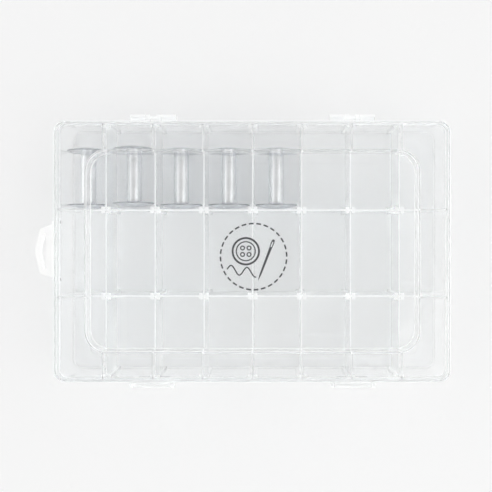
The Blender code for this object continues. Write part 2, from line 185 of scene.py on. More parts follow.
def rim_loop(inwards, z):
    return rounded_loop(HALF_X - inwards, HALF_Y - inwards, RIM_RADIUS - inwards, z)


def recess_loop(outwards, z):
    return rounded_loop(RECESS_X + outwards, RECESS_Y + outwards, RECESS_RADIUS + outwards, z)


# ---------------------------------------------------------------- meshes
def skin(mesh, loops):
    """Skins a row of loops with equal point counts and closes both ends."""
    rings = [[mesh.verts.new(point) for point in loop] for loop in loops]
    count = len(rings[0])
    for lower, upper in zip(rings, rings[1:]):
        for k in range(count):
            after = (k + 1) % count
            mesh.faces.new((lower[k], lower[after], upper[after], upper[k]))
    mesh.faces.new(rings[0])
    mesh.faces.new(rings[-1])


def extrude(mesh, outline, place, low, high, edge_low=0.0, edge_high=0.0):
    """A prism of a flat outline with rounded end edges; place(u, v, w) puts it in the frame."""
    loops = []
    for edge, end, way in ((edge_low, low, 1), (edge_high, high, -1)):
        steps = 3 if edge else 0
        ring = []
        for step in range(steps + 1):
            angle = pi / 2 * step / max(steps, 1)
            flat = inset(outline, edge * (1 - sin(angle))) if edge else outline
            ring.append([place(p.x, p.y, end + way * edge * (1 - cos(angle))) for p in flat])
        loops += ring if way > 0 else ring[::-1]
    skin(mesh, loops)


def vectors(points):
    return [Vector(point) for point in points]


def rectangle(low_u, low_v, high_u, high_v):
    return vectors([(low_u, low_v), (high_u, low_v), (high_u, high_v), (low_u, high_v)])


def level(u, v, w):
    return Vector((u, v, w))


def upright(u, v, w):
    """Stands a section up: u runs along Y, v up and w along X."""
    return Vector((w, u, v))


def along_x(pivot, outward):
    """Places a section about a pivot that runs along X; +u points to outward times +Y."""
    return lambda u, v, w: Vector((w, pivot.y + outward * u, pivot.z + v))


def along_y(pivot):
    """Places a section about a pivot that runs along Y; +u points to -X."""
    return lambda u, v, w: Vector((pivot.x - u, w, pivot.z + v))


def rod(mesh, radius, place, low, high, edge=0.0):
    outline = arc(radius, 0, 360 - 360 / ROUND_STEPS, ROUND_STEPS - 1)
    extrude(mesh, outline, place, low, high, edge, edge)


def turn_profile(mesh, profile, steps):
    """A closed (radius, height) profile turned about Z."""
    rings = []
    for step in range(steps):
        turned = Matrix.Rotation(2 * pi * step / steps, 4, "Z")
        rings.append([mesh.verts.new(turned @ Vector((p.x, 0, p.y))) for p in profile])
    count = len(profile)
    for step in range(steps):
        here = rings[step]
        there = rings[(step + 1) % steps]
        for k in range(count):
            after = (k + 1) % count
            mesh.faces.new((here[k], here[after], there[after], there[k]))


def make_object(name, mesh, finish):
    bmesh.ops.recalc_face_normals(mesh, faces=mesh.faces)
    data = bpy.data.meshes.new(name)
    mesh.to_mesh(data)
    mesh.free()
    data.materials.append(finish)
    made = bpy.data.objects.new(name, data)
    bpy.context.scene.collection.objects.link(made)
    return made


def combine(target, helper_mesh, operation):
    """Joins helper bodies to a piece, or cuts them from it."""
    helper = make_object("helper", helper_mesh, target.data.materials[0])
    change = target.modifiers.new("combine", "BOOLEAN")
    change.operation = operation
    change.object = helper
    evaluated = target.evaluated_get(bpy.context.evaluated_depsgraph_get())
    result = bpy.data.meshes.new_from_object(evaluated)
    target.modifiers.clear()
    spent = [target.data, helper.data]
    target.data = result
    bpy.data.objects.remove(helper)
    for old in spent:
        bpy.data.meshes.remove(old)
    result.name = target.name


def smooth(piece, angle=32):
    """Smooth round sides, crisp edges, and flat faces that stay flat."""
    piece.data.shade_smooth()
    piece.data.set_sharp_from_angle(angle=radians(angle))
    weighted = piece.modifiers.new("flat_faces", "WEIGHTED_NORMAL")
    weighted.keep_sharp = True


def paint(piece, finishes, zone):
    """Gives every face the finish that zone(centre, normal) names."""
    names = list(finishes)
    piece.data.materials.clear()
    for finish in finishes.values():
        piece.data.materials.append(finish)
    for face in piece.data.polygons:
        face.material_index = names.index(zone(face.center, face.normal))


def stand_for(piece, node, body):
    """The piece rides on a body and replaces a CAD node."""
    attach(piece, body)
    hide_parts(node)


# ---------------------------------------------------------------- materials
def material(name):
    made = bpy.data.materials.new(name)
    made.use_nodes = True
    return made, made.node_tree, made.node_tree.nodes["Principled BSDF"]


def add_node(tree, kind, **values):
    """A node with its inputs set by name, spaces written as underscores."""
    node = tree.nodes.new(kind)
    for name, value in values.items():
        node.inputs[name.replace("_", " ")].default_value = value
    return node


def noise(tree, coordinates, scale, detail=2.0, roughness=0.5):
    node = add_node(tree, "ShaderNodeTexNoise", Scale=scale, Detail=detail, Roughness=roughness)
    tree.links.new(coordinates, node.inputs["Vector"])
    return node.outputs["Fac"]


def spread(tree, source, low, high):
    """Maps a noise around one half to the range from low to high."""
    node = add_node(tree, "ShaderNodeMapRange")
    node.inputs["From Min"].default_value = 0.3
    node.inputs["From Max"].default_value = 0.7
    node.inputs["To Min"].default_value = low
    node.inputs["To Max"].default_value = high
    tree.links.new(source, node.inputs["Value"])
    return node.outputs["Result"]


def tint(tree, source, first, second):
    """A colour that drifts between two close tones."""
    node = tree.nodes.new("ShaderNodeMix")
    node.data_type = "RGBA"
    node.inputs["A"].default_value = (*first, 1)
    node.inputs["B"].default_value = (*second, 1)
    tree.links.new(spread(tree, source, 0, 1), node.inputs["Factor"])
    return node.outputs["Result"]


def bump(tree, height, strength, distance, before=None):
    node = add_node(tree, "ShaderNodeBump", Strength=strength, Distance=distance)
    tree.links.new(height, node.inputs["Height"])
    if before is not None:
        tree.links.new(before, node.inputs["Normal"])
    return node.outputs["Normal"]


def clear_plastic(name, transmission, roughness, haze=0.0, painted_glow=0.0, ripple=0.0):
    """Natural polypropylene: see-through but milky, glossy, with a fine moulded grain."""
    made, tree, shader = material(name)
    place = tree.nodes.new("ShaderNodeTexCoord").outputs["Object"]
    clouds = noise(tree, place, 9, 3)
    shader.inputs["Transmission Weight"].default_value = transmission
    shader.inputs["IOR"].default_value = 1.49
    shader.inputs["Sheen Weight"].default_value = haze
    shader.inputs["Sheen Roughness"].default_value = 0.6
    # painted glow: emission that stands in for light the clear walls pipe to their edges; the
    # plastic is no lamp
    shader.inputs["Emission Color"].default_value = (0.97, 0.995, 1, 1)
    shader.inputs["Emission Strength"].default_value = painted_glow
    colour = tint(tree, clouds, (0.994, 0.998, 1), (0.998, 1, 1))
    tree.links.new(colour, shader.inputs["Base Color"])
    peel = noise(tree, place, 420, 2)
    low, high = roughness
    tree.links.new(spread(tree, noise(tree, place, 60, 3), low, high), shader.inputs["Roughness"])
    ripples = bump(tree, noise(tree, place, 22, 1), ripple, 0.0008)
    tree.links.new(bump(tree, peel, 0.03, 0.0002, ripples), shader.inputs["Normal"])
    return made


def white_plastic(name):
    """Opaque white polypropylene with a fine moulded grain and a painted glow."""
    made, tree, shader = material(name)
    place = tree.nodes.new("ShaderNodeTexCoord").outputs["Object"]
    clouds = noise(tree, place, 40, 3)
    colour = tint(tree, clouds, (0.985, 0.985, 0.98), (0.995, 0.995, 0.99))
    tree.links.new(colour, shader.inputs["Base Color"])
    tree.links.new(spread(tree, noise(tree, place, 300), 0.3, 0.42), shader.inputs["Roughness"])
    # painted glow: emission that lifts the white loop above the floor's tone; the loop is no lamp
    shader.inputs["Emission Color"].default_value = (1, 1, 1, 1)
    shader.inputs["Emission Strength"].default_value = 0.08
    shader.inputs["Subsurface Weight"].default_value = 0.1
    shader.inputs["Subsurface Radius"].default_value = (0.004, 0.004, 0.004)
    shader.inputs["Subsurface Scale"].default_value = 0.5
    tree.links.new(bump(tree, noise(tree, place, 900), 0.12, 0.0001), shader.inputs["Normal"])
    return made


def turned_aluminium(name, across, base):
    """Satin aluminium with fine tool lines: round the tube, or in rings on a flange."""
    made, tree, shader = material(name)
    place = tree.nodes.new("ShaderNodeTexCoord").outputs["Object"]
    if across == "rings":
        flat = tree.nodes.new("ShaderNodeVectorMath")
        flat.operation = "MULTIPLY"
        flat.inputs[1].default_value = (1, 1, 0)
        tree.links.new(place, flat.inputs[0])
        length = tree.nodes.new("ShaderNodeVectorMath")
        length.operation = "LENGTH"
        tree.links.new(flat.outputs["Vector"], length.inputs[0])
        run = length.outputs["Value"]
    else:
        split = tree.nodes.new("ShaderNodeSeparateXYZ")
        tree.links.new(place, split.inputs["Vector"])
        run = split.outputs["Z"]
    lines = add_node(tree, "ShaderNodeTexNoise", Scale=2600, Detail=3)
    lines.noise_dimensions = "1D"
    tree.links.new(run, lines.inputs["W"])
    wear = noise(tree, place, 130, 4)
    colour = tint(tree, wear, [tone - 0.04 for tone in base], [tone + 0.04 for tone in base])
    tree.links.new(colour, shader.inputs["Base Color"])
    tree.links.new(spread(tree, wear, 0.2, 0.28), shader.inputs["Roughness"])
    shader.inputs["Metallic"].default_value = 1
    tree.links.new(bump(tree, lines.outputs["Fac"], 0.1, 0.00003), shader.inputs["Normal"])
    return made


def print_ink(name):
    """Dark grey screen-printing ink, a little thin in places."""
    made, tree, shader = material(name)
    place = tree.nodes.new("ShaderNodeTexCoord").outputs["Object"]
    grain = noise(tree, place, 700, 3)
    colour = tint(tree, grain, (0.055, 0.056, 0.06), (0.085, 0.086, 0.09))
    tree.links.new(colour, shader.inputs["Base Color"])
    tree.links.new(spread(tree, grain, 0.45, 0.6), shader.inputs["Roughness"])
    return made


# ---------------------------------------------------------------- where each finish goes
STEEP = 0.2                      # a face whose normal has less height than this stands upright
FLAT = 0.97                      # and one with more lies flat
RIM_BOTTOM = 35.4 * MM           # the base's rim and its walls' tops are above this
RIM_BAND = 3 * MM                # how far the rim reaches in from its outline
ROW_BAND = 4 * MM                # how far a row wall and its guides reach from its middle
RIB_FOOT = 38.6 * MM             # the feet of the lid's ribs are below this
BEND_BAND = 10 * MM              # how far the bends of the recess reach out from it
BACK_BAND = 4 * MM               # and how far the back one reaches in


# ---------------------------------------------------------------- base
def row_wall(y):
    """Plan of one long row wall with the divider guides on both of its faces."""
    end = HALF_X - INNER_TOP + BITE
    face = ROW_WALL_THICK / 2
    tooth = face + GUIDE_DEPTH
    near = GUIDE_SLOT / 2
    far = near + GUIDE_RIB
    soft = 0.4 * MM
    lower = [(-end, y - face, 0)]
    for x in DIVIDER_LINES:
        for start, stop in ((-far, -near), (near, far)):
            lower += [(x + start, y - face, soft), (x + start, y - tooth, soft)]
            lower += [(x + stop, y - tooth, soft), (x + stop, y - face, soft)]
    lower.append((end, y - face, 0))
    upper = [(u, 2 * y - v, radius) for u, v, radius in reversed(lower)]
    return fillet(lower + upper, 2)


def clip_section():
    """Section of a base knuckle: an open ring on a web that joins the wall."""
    outer = asin(CLIP_MOUTH / KNUCKLE) * 180 / pi
    inner = asin(CLIP_MOUTH / CLIP_BORE) * 180 / pi
    web_top = SHOULDER - GAP - PIVOTS["lid_hinge"].z
    meets = 180 + asin(-web_top / KNUCKLE) * 180 / pi
    wall = HALF_Y - INNER_TOP + BITE - PIVOTS["lid_hinge"].y
    outline = arc(KNUCKLE, outer, meets, 18)
    outline += vectors([(wall, web_top), (wall, -KNUCKLE)])
    return outline + arc(KNUCKLE, 270, 360 - outer, 8) + arc(CLIP_BORE, 360 - inner, inner, 24)


def ear_section(radius, wall, web_bottom, web_top):
    """Section of a pivot ear: a round end on a web that reaches back to the wall."""
    high = 180 - asin(web_top / radius) * 180 / pi
    low = -180 - asin(web_bottom / radius) * 180 / pi
    return arc(radius, low, high, 24) + vectors([(-wall, web_top), (-wall, web_bottom)])


def tray_shell(finish):
    """Floor and outer walls of the base, with the flange and the tongue of its rim."""
    core = CORE_INSET / MM
    floor = FLOOR / MM
    shoulder = SHOULDER / MM
    tongue = TONGUE / MM
    inner_top = INNER_TOP / MM
    # (inwards from the rim, height, fillet radius), in millimetres
    path = [(core, 0, 0), (0.9, 0, 2), (0.6, 35.6, 0.3), (0, 36.1, 0.3), (0, shoulder, 0.35)]
    path += [(1.1, shoulder, 0.2), (1.1, tongue, 0.25), (inner_top, tongue, 0.25)]
    path += [(INNER_FLOOR / MM, floor, 2), (core, floor, 0)]
    mesh = bmesh.new()
    points = fillet(path, FILLET_STEPS, closed=False)
    loops = [rim_loop(p.x * MM, p.y * MM) for p in points[1:-1]]
    ends = [rounded_loop(HALF_X - CORE_INSET, HALF_Y - CORE_INSET, 2 * MM, z) for z in (0, FLOOR)]
    skin(mesh, [ends[0]] + loops + [ends[1]])
    return make_object("tray", mesh, finish)


def tray_walls():
    """Row walls, and the guide ribs on the front and back walls."""
    mesh = bmesh.new()
    for y in ROW_WALLS:
        extrude(mesh, row_wall(y), level, FLOOR - BITE, ROW_WALL_TOP, 0, 0.3 * MM)
    wall = HALF_Y - INNER_TOP
    for x in DIVIDER_LINES:
        for side in (-1, 1):
            for rib in (-1, 1):
                us = sorted((x + rib * GUIDE_SLOT / 2, x + rib * (GUIDE_SLOT / 2 + GUIDE_RIB)))
                vs = sorted((side * (wall - GUIDE_DEPTH), side * (wall + BITE)))
                outline = rectangle(us[0], vs[0], us[1], vs[1])
                extrude(mesh, outline, level, FLOOR - BITE, ROW_WALL_TOP, 0, 0.3 * MM)
    return mesh


def tray_details():
    """Hinge knuckles, latch catches and the loop's ears."""
    mesh = bmesh.new()
    hinge = along_x(PIVOTS["lid_hinge"], 1)
    for x in (PIVOTS["latch_left_pivot"].x, PIVOTS["latch_right_pivot"].x):
        for side in (-1, 1):
            span = sorted(x + side * reach for reach in CLIP_SPAN)
            extrude(mesh, clip_section(), hinge, *span, 0.2 * MM, 0.2 * MM)
        wall = -(HALF_Y - INNER_TOP + BITE)
        corners = [(wall, CATCH_BOTTOM, 0), (wall, CATCH_TOP, 0)]
        corners += [(CATCH_FACE, CATCH_TOP, 0.9 * MM), (CATCH_FACE, CATCH_BOTTOM, 0.5 * MM)]
        span = (x - CATCH_HALF, x + CATCH_HALF)
        extrude(mesh, fillet(corners, 4), upright, *span, 0.2 * MM, 0.2 * MM)
    pivot = PIVOTS["handle_pivot"]
    wall = -pivot.x - (HALF_X - INNER_TOP + BITE)
    for side in (-1, 1):
        near = side * (HANDLE_HALF + GAP)
        span = sorted((near, near + side * HANDLE_EAR))
        section = ear_section(BARREL, wall, -2 * MM, 1.4 * MM)
        extrude(mesh, section, along_y(pivot), *span, 0.25 * MM, 0.25 * MM)
    return mesh


def tray_holes():
    """Bores of the loop's ears and four round seats sunk in the underside."""
    mesh = bmesh.new()
    for side in (-1, 1):
        span = sorted((side * HANDLE_HALF, side * (HANDLE_HALF + 5 * MM)))
        rod(mesh, STUB_BORE, along_y(PIVOTS["handle_pivot"]), *span)
    for x in (-SEAT_X, SEAT_X):
        for y in (-SEAT_Y, SEAT_Y):
            seat = lambda u, v, w, x=x, y=y: Vector((x + u, y + v, w))
            rod(mesh, SEAT_RADIUS, seat, -SEAT_DEPTH, SEAT_DEPTH)
    return mesh


def tray_zone(centre, normal):
    """Milky rim, frosted wall tops, milky row walls and clear outer walls, all with a painted glow,
    and a clear floor.
    """
    slope = abs(normal.z)
    outer = abs(centre.x) > HALF_X - RIM_BAND or abs(centre.y) > HALF_Y - RIM_BAND
    if centre.z > RIM_BOTTOM:
        if outer:
            return "skirt" if slope < STEEP else "rim"
        return "edge"
    near_row = min(abs(centre.y - y) for y in ROW_WALLS) < ROW_BAND
    if near_row and centre.z > FLOOR:
        return "rib"
    return "wall" if slope < 0.9 else "panel"


def make_tray(finishes):
    tray = tray_shell(finishes["panel"])
    combine(tray, tray_walls(), "UNION")
    combine(tray, tray_details(), "UNION")
    combine(tray, tray_holes(), "DIFFERENCE")
    smooth(tray)
    paint(tray, finishes, tray_zone)
    stand_for(tray, "base_tray", "base")


# ---------------------------------------------------------------- lid
def lid_shell(finish):
    """Skirt, raised border and sunken panel, as one even skin."""
    mesh = bmesh.new()
    panel = PANEL / MM
    top = TOP / MM
    wall = LID_WALL / MM
    # (outwards from the recess, height, fillet radius)
    recess = [(-3, panel, 0), (-0.8, panel, 0.9), (0.1, top, 0.8), (4, top, 0)]
    under_recess = [(5, top - wall, 0), (1.7, top - wall, 0.6), (0.8, panel - wall, 1.4)]
    under_recess += [(-3, panel - wall, 0)]
    # (inwards from the rim, height, fillet radius)
    skirt = [(4, top, 0), (0.05, top, 1.3), (0, SHOULDER / MM + 0.3, 0.25)]
    skirt += [(0.8, SHOULDER / MM + 0.3, 0.2), (0.8, TONGUE / MM + 0.3, 0.2)]
    skirt += [(1.6, TONGUE / MM + 0.3, 0.3), (1.65, top - wall, 1), (5, top - wall, 0)]
    loops = [recess_loop(p.x * MM, p.y * MM) for p in fillet(recess, FILLET_STEPS, closed=False)]
    loops += [rim_loop(p.x * MM, p.y * MM) for p in fillet(skirt, FILLET_STEPS, closed=False)]
    under = fillet(under_recess, FILLET_STEPS, closed=False)
    loops += [recess_loop(p.x * MM, p.y * MM) for p in under]
    skin(mesh, loops)
    return make_object("lid", mesh, finish)


def lid_ribs():
    """Ribs under the border, above the dividers and the row walls."""
    mesh = bmesh.new()
    top = TOP - LID_WALL + BITE / 2
    for x in DIVIDER_LINES:
        for side in (-1, 1):
            vs = sorted((side * (RECESS_Y + 1 * MM), side * (HALF_Y - 2.5 * MM)))
            outline = rectangle(x - LID_RIB_HALF, vs[0], x + LID_RIB_HALF, vs[1])
            extrude(mesh, outline, level, LID_RIB_BOTTOM, top, 0.25 * MM, 0)
    for y in ROW_WALLS:
        for side in (-1, 1):
            us = sorted((side * (RECESS_X + 1 * MM), side * (HALF_X - 2.5 * MM)))
            outline = rectangle(us[0], y - LID_RIB_HALF, us[1], y + LID_RIB_HALF)
            extrude(mesh, outline, level, LID_RIB_BOTTOM, top, 0.25 * MM, 0)
    return mesh


def barrel_section():
    """Section of a lid knuckle: a round barrel on a web that joins the skirt."""
    low = 180 - asin(0.5 * MM / KNUCKLE) * 180 / pi
    wall = HALF_Y - 0.6 * MM - PIVOTS["lid_hinge"].y
    return arc(KNUCKLE, low - 360, 90, 26) + vectors([(wall, KNUCKLE), (wall, 0.5 * MM)])


def lid_details():
    """Hinge barrels and latch ears."""
    mesh = bmesh.new()
    hinge = along_x(PIVOTS["lid_hinge"], 1)
    latch_pivot = PIVOTS["latch_left_pivot"]
    latch = along_x(latch_pivot, -1)
    wall = -latch_pivot.y - (HALF_Y - LID_WALL + BITE)
    for x in (PIVOTS["latch_left_pivot"].x, PIVOTS["latch_right_pivot"].x):
        for side in (-1, 1):
            span = sorted((x + side * (CLIP_SPAN[1] + GAP), x + side * HINGE_HALF))
            extrude(mesh, barrel_section(), hinge, *span, 0.3 * MM, 0.3 * MM)
            near = LATCH_HALF + GAP
            span = sorted((x + side * near, x + side * (near + EAR_THICK)))
            section = ear_section(LATCH_EAR, wall, -2.4 * MM, 2.4 * MM)
            extrude(mesh, section, latch, *span, 0.3 * MM, 0.3 * MM)
    return mesh


def lid_zone(centre, normal):
    """Clear panel and border, milky skirt and bends but for the back one, frosted rib feet; the
    bends, rim, rib feet and upright faces by the recess have a painted glow.
    """
    outside = max(abs(centre.x) - RECESS_X, abs(centre.y) - RECESS_Y) > BEND_BAND
    slope = abs(normal.z)
    if slope < STEEP:
        return "skirt" if outside else "wall"
    if centre.z < RIB_FOOT:
        return "rim" if outside else "edge"
    at_back = centre.y > RECESS_Y - BACK_BAND and abs(centre.x) < RECESS_X - RECESS_RADIUS
    if slope > FLAT or (at_back and not outside):
        return "panel"
    return "rim" if outside else "bend"


def make_lid(finishes):
    lid = lid_shell(finishes["panel"])
    combine(lid, lid_ribs(), "UNION")
    combine(lid, lid_details(), "UNION")
    pins = bmesh.new()
    holes = bmesh.new()
    for x in (PIVOTS["latch_left_pivot"].x, PIVOTS["latch_right_pivot"].x):
        reach = CLIP_SPAN[1] + 2 * MM
        rod(pins, PIN, along_x(PIVOTS["lid_hinge"], 1), x - reach, x + reach)
        reach = LATCH_HALF + 2 * EAR_THICK
        rod(holes, STUB_BORE, along_x(PIVOTS["latch_left_pivot"], -1), x - reach, x + reach)
    combine(lid, pins, "UNION")
    combine(lid, holes, "DIFFERENCE")
    smooth(lid)
    paint(lid, finishes, lid_zone)
    stand_for(lid, "hinged_lid", "lid")


# ---------------------------------------------------------------- dividers
def plate_zone(centre, normal):
    """Milky faces and a frosted edge, both with a painted glow."""
    return "plate" if abs(normal.x) > 0.9 else "edge"


def plate_mesh(row, finishes):
    """A divider of one row, with a rounded edge all round, about the middle of its foot."""
    low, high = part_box(f"divider_{row}_1")
    half_y = (high.y - low.y) / 2
    corner = 2.6 * MM
    corners = [(-half_y + corner, low.z, 1 * MM), (half_y - corner, low.z, 1 * MM)]
    corners += [(half_y, low.z + corner, 1 * MM), (half_y, high.z, 0.8 * MM)]
    corners += [(-half_y, high.z, 0.8 * MM), (-half_y, low.z + corner, 1 * MM)]
    mesh = bmesh.new()
    half = DIVIDER_THICK / 2
    extrude(mesh, fillet(corners, 5), upright, -half, half, 0.3 * MM, 0.3 * MM)
    plate = make_object("plate", mesh, finishes["wall"])
    paint(plate, finishes, plate_zone)
    data = plate.data
    data.shade_smooth()
    data.set_sharp_from_angle(angle=radians(40))
    bpy.data.objects.remove(plate)
    return data


def make_dividers(finishes):
    """The plates of a row share one mesh; each stands at its divider of the CAD model."""
    for row in ("front", "middle", "back"):
        data = plate_mesh(row, finishes)
        for k in range(1, 8):
            low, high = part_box(f"divider_{row}_{k}")
            piece = bpy.data.objects.new(f"plate_{row}_{k}", data)
            piece.location = ((low.x + high.x) / 2, (low.y + high.y) / 2, 0)
            bpy.context.scene.collection.objects.link(piece)
            weighted = piece.modifiers.new("flat_faces", "WEIGHTED_NORMAL")
            weighted.keep_sharp = True
            stand_for(piece, f"divider_{row}_{k}", "base")


# ---------------------------------------------------------------- latches
def latch_section():
    """Barrel, plate, hook under the catch, and a flared finger lip, in millimetres."""
    corners = [(-0.6, -2.2, 0.4), (-0.6, -10.7, 0.2), (-2.6, -10.7, 0.3), (-2.6, -11.6, 0.3)]
    corners += [(-1.6, -12.8, 0.4), (-0.6, -12.8, 0.3), (-0.6, -14.5, 2), (1.2, -19.4, 0.6)]
    corners += [(2.8, -19.0, 0.6), (1.4, -14.0, 2), (1.4, -1.8, 0.3)]
    start = atan2(-1.8, 1.4) * 180 / pi
    stop = 360 + atan2(-2.2, -0.6) * 180 / pi
    plate = fillet(corners, 3, closed=False)
    barrel = arc(BARREL / MM, start, stop, 28)
    return [p * MM for p in barrel[1:-1] + plate]


def make_latches(finish):
    for side in ("left", "right"):
        pivot = PIVOTS[f"latch_{side}_pivot"]
        place = along_x(pivot, -1)
        mesh = bmesh.new()
        low, high = pivot.x - LATCH_HALF, pivot.x + LATCH_HALF
        extrude(mesh, latch_section(), place, low, high, 0.25 * MM, 0.25 * MM)
        latch = make_object(f"snap_latch_{side}", mesh, finish)
        stubs = bmesh.new()
        reach = LATCH_HALF + 2.7 * MM
        rod(stubs, STUB, place, pivot.x - reach, pivot.x + reach, 0.3 * MM)
        for bar in (-15.4, -16.5, -17.6):
            outline = arc(0.35 * MM, 0, 330, 11)
            grip = lambda u, v, w, bar=bar: place(u + (1.2 - 0.3 * (bar + 14)) * MM, v + bar * MM, w)
            extrude(stubs, outline, grip, pivot.x - 11 * MM, pivot.x + 11 * MM, 0.1 * MM, 0.1 * MM)
        combine(latch, stubs, "UNION")
        smooth(latch)
        stand_for(latch, f"latch_{side}", f"latch_{side}")


# ---------------------------------------------------------------- loop
def mirrored(corners):
    """Completes a half outline, given from its middle to its end, with its mirror image."""
    other = [(u, -v, radius) for u, v, radius in reversed(corners)]
    return [(u * MM, v * MM, radius * MM) for u, v, radius in corners + other]


def make_loop(finish):
    pivot = PIVOTS["handle_pivot"]
    half = HANDLE_HALF / MM
    flat = lambda u, v, w: Vector((pivot.x - u, v, pivot.z + w))
    outside = mirrored([(HANDLE_REACH, 3.5, 6), (12.2, 18.6, 2.5), (2.4, half, 1), (0, half, 0)])
    inside = mirrored([(HANDLE_REACH - 5, 3, 5), (8.8, 15, 0.7), (7, 15, 0.7)])
    thick = HANDLE_THICK / 2
    mesh = bmesh.new()
    extrude(mesh, fillet(outside, 10), flat, -thick, thick, 0.9 * MM, 0.9 * MM)
    loop = make_object("loop_handle", mesh, finish)
    hole = bmesh.new()
    extrude(hole, fillet(inside, 8), flat, -3 * thick, 3 * thick)
    combine(loop, hole, "DIFFERENCE")
    barrel = bmesh.new()
    rod(barrel, BARREL, along_y(pivot), -HANDLE_HALF, HANDLE_HALF, 0.3 * MM)
    combine(loop, barrel, "UNION")
    stubs = bmesh.new()
    reach = HANDLE_HALF + 2.4 * MM
    rod(stubs, STUB, along_y(pivot), -reach, reach, 0.3 * MM)
    combine(loop, stubs, "UNION")
    smooth(loop)
    stand_for(loop, "carry_handle", "handle")


# ---------------------------------------------------------------- bobbins
def flange_zone(centre, normal):
    """The rolled rim, in a darker metal that paints shade along the flange's outline, and the sheet
    inside it.
    """
    return "bead" if hypot(centre.x, centre.y) > BOBBIN_RADIUS - 1.2 * MM else "sheet"


def bobbin_meshes(finishes):
    """One tube and one dished flange with a rolled rim, both about the Z axis."""
    low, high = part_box("bobbin_1_core")
    half_tube = (high.y - low.y) / 2
    low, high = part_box("bobbin_1_flange_back")
    face = high.y - PIVOTS["bobbin_1_spin"].y
    rim = low.y - PIVOTS["bobbin_1_spin"].y
    mesh = bmesh.new()
    corners = [(BOBBIN_BORE, -half_tube, 0.2 * MM), (BOBBIN_CORE, -half_tube, 0.2 * MM)]
    corners += [(BOBBIN_CORE, half_tube, 0.2 * MM), (BOBBIN_BORE, half_tube, 0.2 * MM)]
    turn_profile(mesh, fillet(corners, 3), 64)
    tube = make_object("tube", mesh, finishes["tube"])
    mesh = bmesh.new()
    inner = face - FLANGE_SHEET
    bead = FLANGE_BEAD
    corners = [(FLANGE_HOLE, inner, 0.2 * MM), (FLANGE_FLAT, inner, 2 * MM)]
    corners += [(BOBBIN_RADIUS - 2 * bead, rim + 0.35 * MM, 0.3 * MM)]
    corners += [(BOBBIN_RADIUS - 1.6 * bead, rim, 0.3 * MM), (BOBBIN_RADIUS, rim, 0.4 * MM)]
    corners += [(BOBBIN_RADIUS, rim + 2 * bead, 0.4 * MM)]
    corners += [(FLANGE_FLAT, face, 2 * MM), (FLANGE_HOLE, face, 0.2 * MM)]
    turn_profile(mesh, fillet(corners, 4), 96)
    flange = make_object("flange", mesh, finishes["sheet"])
    paint(flange, {name: finishes[name] for name in ("sheet", "bead")}, flange_zone)
    for sample in (tube, flange):
        sample.data.shade_smooth()
        sample.data.set_sharp_from_angle(angle=radians(40))
    meshes = [tube.data, flange.data]
    for sample in (tube, flange):
        bpy.data.objects.remove(sample)
    return meshes


def make_bobbins(finishes):
    tube, flange = bobbin_meshes(finishes)
    pieces = [("core", tube, 0), ("flange_back", flange, 0), ("flange_front", flange, pi)]
    for k in range(1, 6):
        for name, data, turned in pieces:
            piece = bpy.data.objects.new(f"spool_{k}_{name}", data)
            piece.matrix_world = (
                Matrix.Translation(PIVOTS[f"bobbin_{k}_spin"])
                @ Matrix.Rotation(-pi / 2, 4, "X")
                @ Matrix.Rotation(turned, 4, "X")
            )
            bpy.context.scene.collection.objects.link(piece)
            stand_for(piece, f"bobbin_{k}_{name}", f"bobbin_{k}")


# ---------------------------------------------------------------- printed motif
PRINT_CENTRE = (0.8, -4.6)       # on the lid's panel, in millimetres
PRINT_THICK = 0.12 * MM
PRINT_LIFT = 0.01 * MM           # clear of the panel that it is printed on
STITCHES = 28
STITCH_TURN = 8.2                # what one stitch covers of the ring, in degrees
STITCH_RING = 27.6               # the ring's radius, and the lines' widths, in millimetres
STITCH_WIDTH = 1.3
THREAD_WIDTH = 1.1


def ribbon(middle, width):
    """A closed outline of even width round an open line, with square ends."""
    sides = []
    for way in (1, -1):
        side = []
        for k, here in enumerate(middle):
            run = middle[min(k + 1, len(middle) - 1)] - middle[max(k - 1, 0)]
            side.append(here + Vector((-run.y, run.x)).normalized() * (way * width / 2))
        sides.append(side)
    return sides[0] + sides[1][::-1]


def stitch_ring():
    """Running stitches round a circle."""
    stitches = []
    for k in range(STITCHES):
        start = 360 / STITCHES * k
        stitches.append(ribbon(arc(STITCH_RING, start, start + STITCH_TURN, 4), STITCH_WIDTH))
    return stitches


def button_lines():
    """A four-hole button: an outer ring, a thin inner ring and the rims of its holes."""
    centre = Vector((-6.5, 4.5))
    rings = [(11.8, 10.2), (8.4, 7.4)]
    lines = [[p + centre for p in arc(radius, 0, 354, 59)] for ring in rings for radius in ring]
    for u, v in ((-1, -1), (1, -1), (1, 1), (-1, 1)):
        hole = centre + Vector((2.7 * u, 2.7 * v))
        lines += [[p + hole for p in arc(radius, 0, 345, 23)] for radius in (2.1, 1.1)]
    return lines


def needle_lines():
    """A slanted needle with a long eye."""
    tip = Vector((3.5, -20.5))
    head = Vector((17.0, 14.5))
    run = (head - tip).normalized()
    side = Vector((-run.y, run.x))
    length = (head - tip).length
    shape = [(0, 0), (0.75, 6), (1.1, length - 8), (1.5, length - 3), (0.9, length - 0.4)]
    right = [tip + run * along - side * out for out, along in shape]
    left = [tip + run * along + side * out for out, along in reversed(shape[1:])]
    eye = [(0.5, length - 7), (0.5, length - 2.4)]
    hole = [tip + run * along + side * way * out
            for way, pair in ((-1, eye), (1, eye[::-1])) for out, along in pair]
    return [right + left, hole]


def thread_line():
    """A loose thread that waves from the button down to the needle's side."""
    middle = [Vector((-22 + 0.55 * k, -10.5 + 3.6 * sin(k * 0.26) - 0.07 * k)) for k in range(45)]
    return [ribbon(middle, THREAD_WIDTH)]


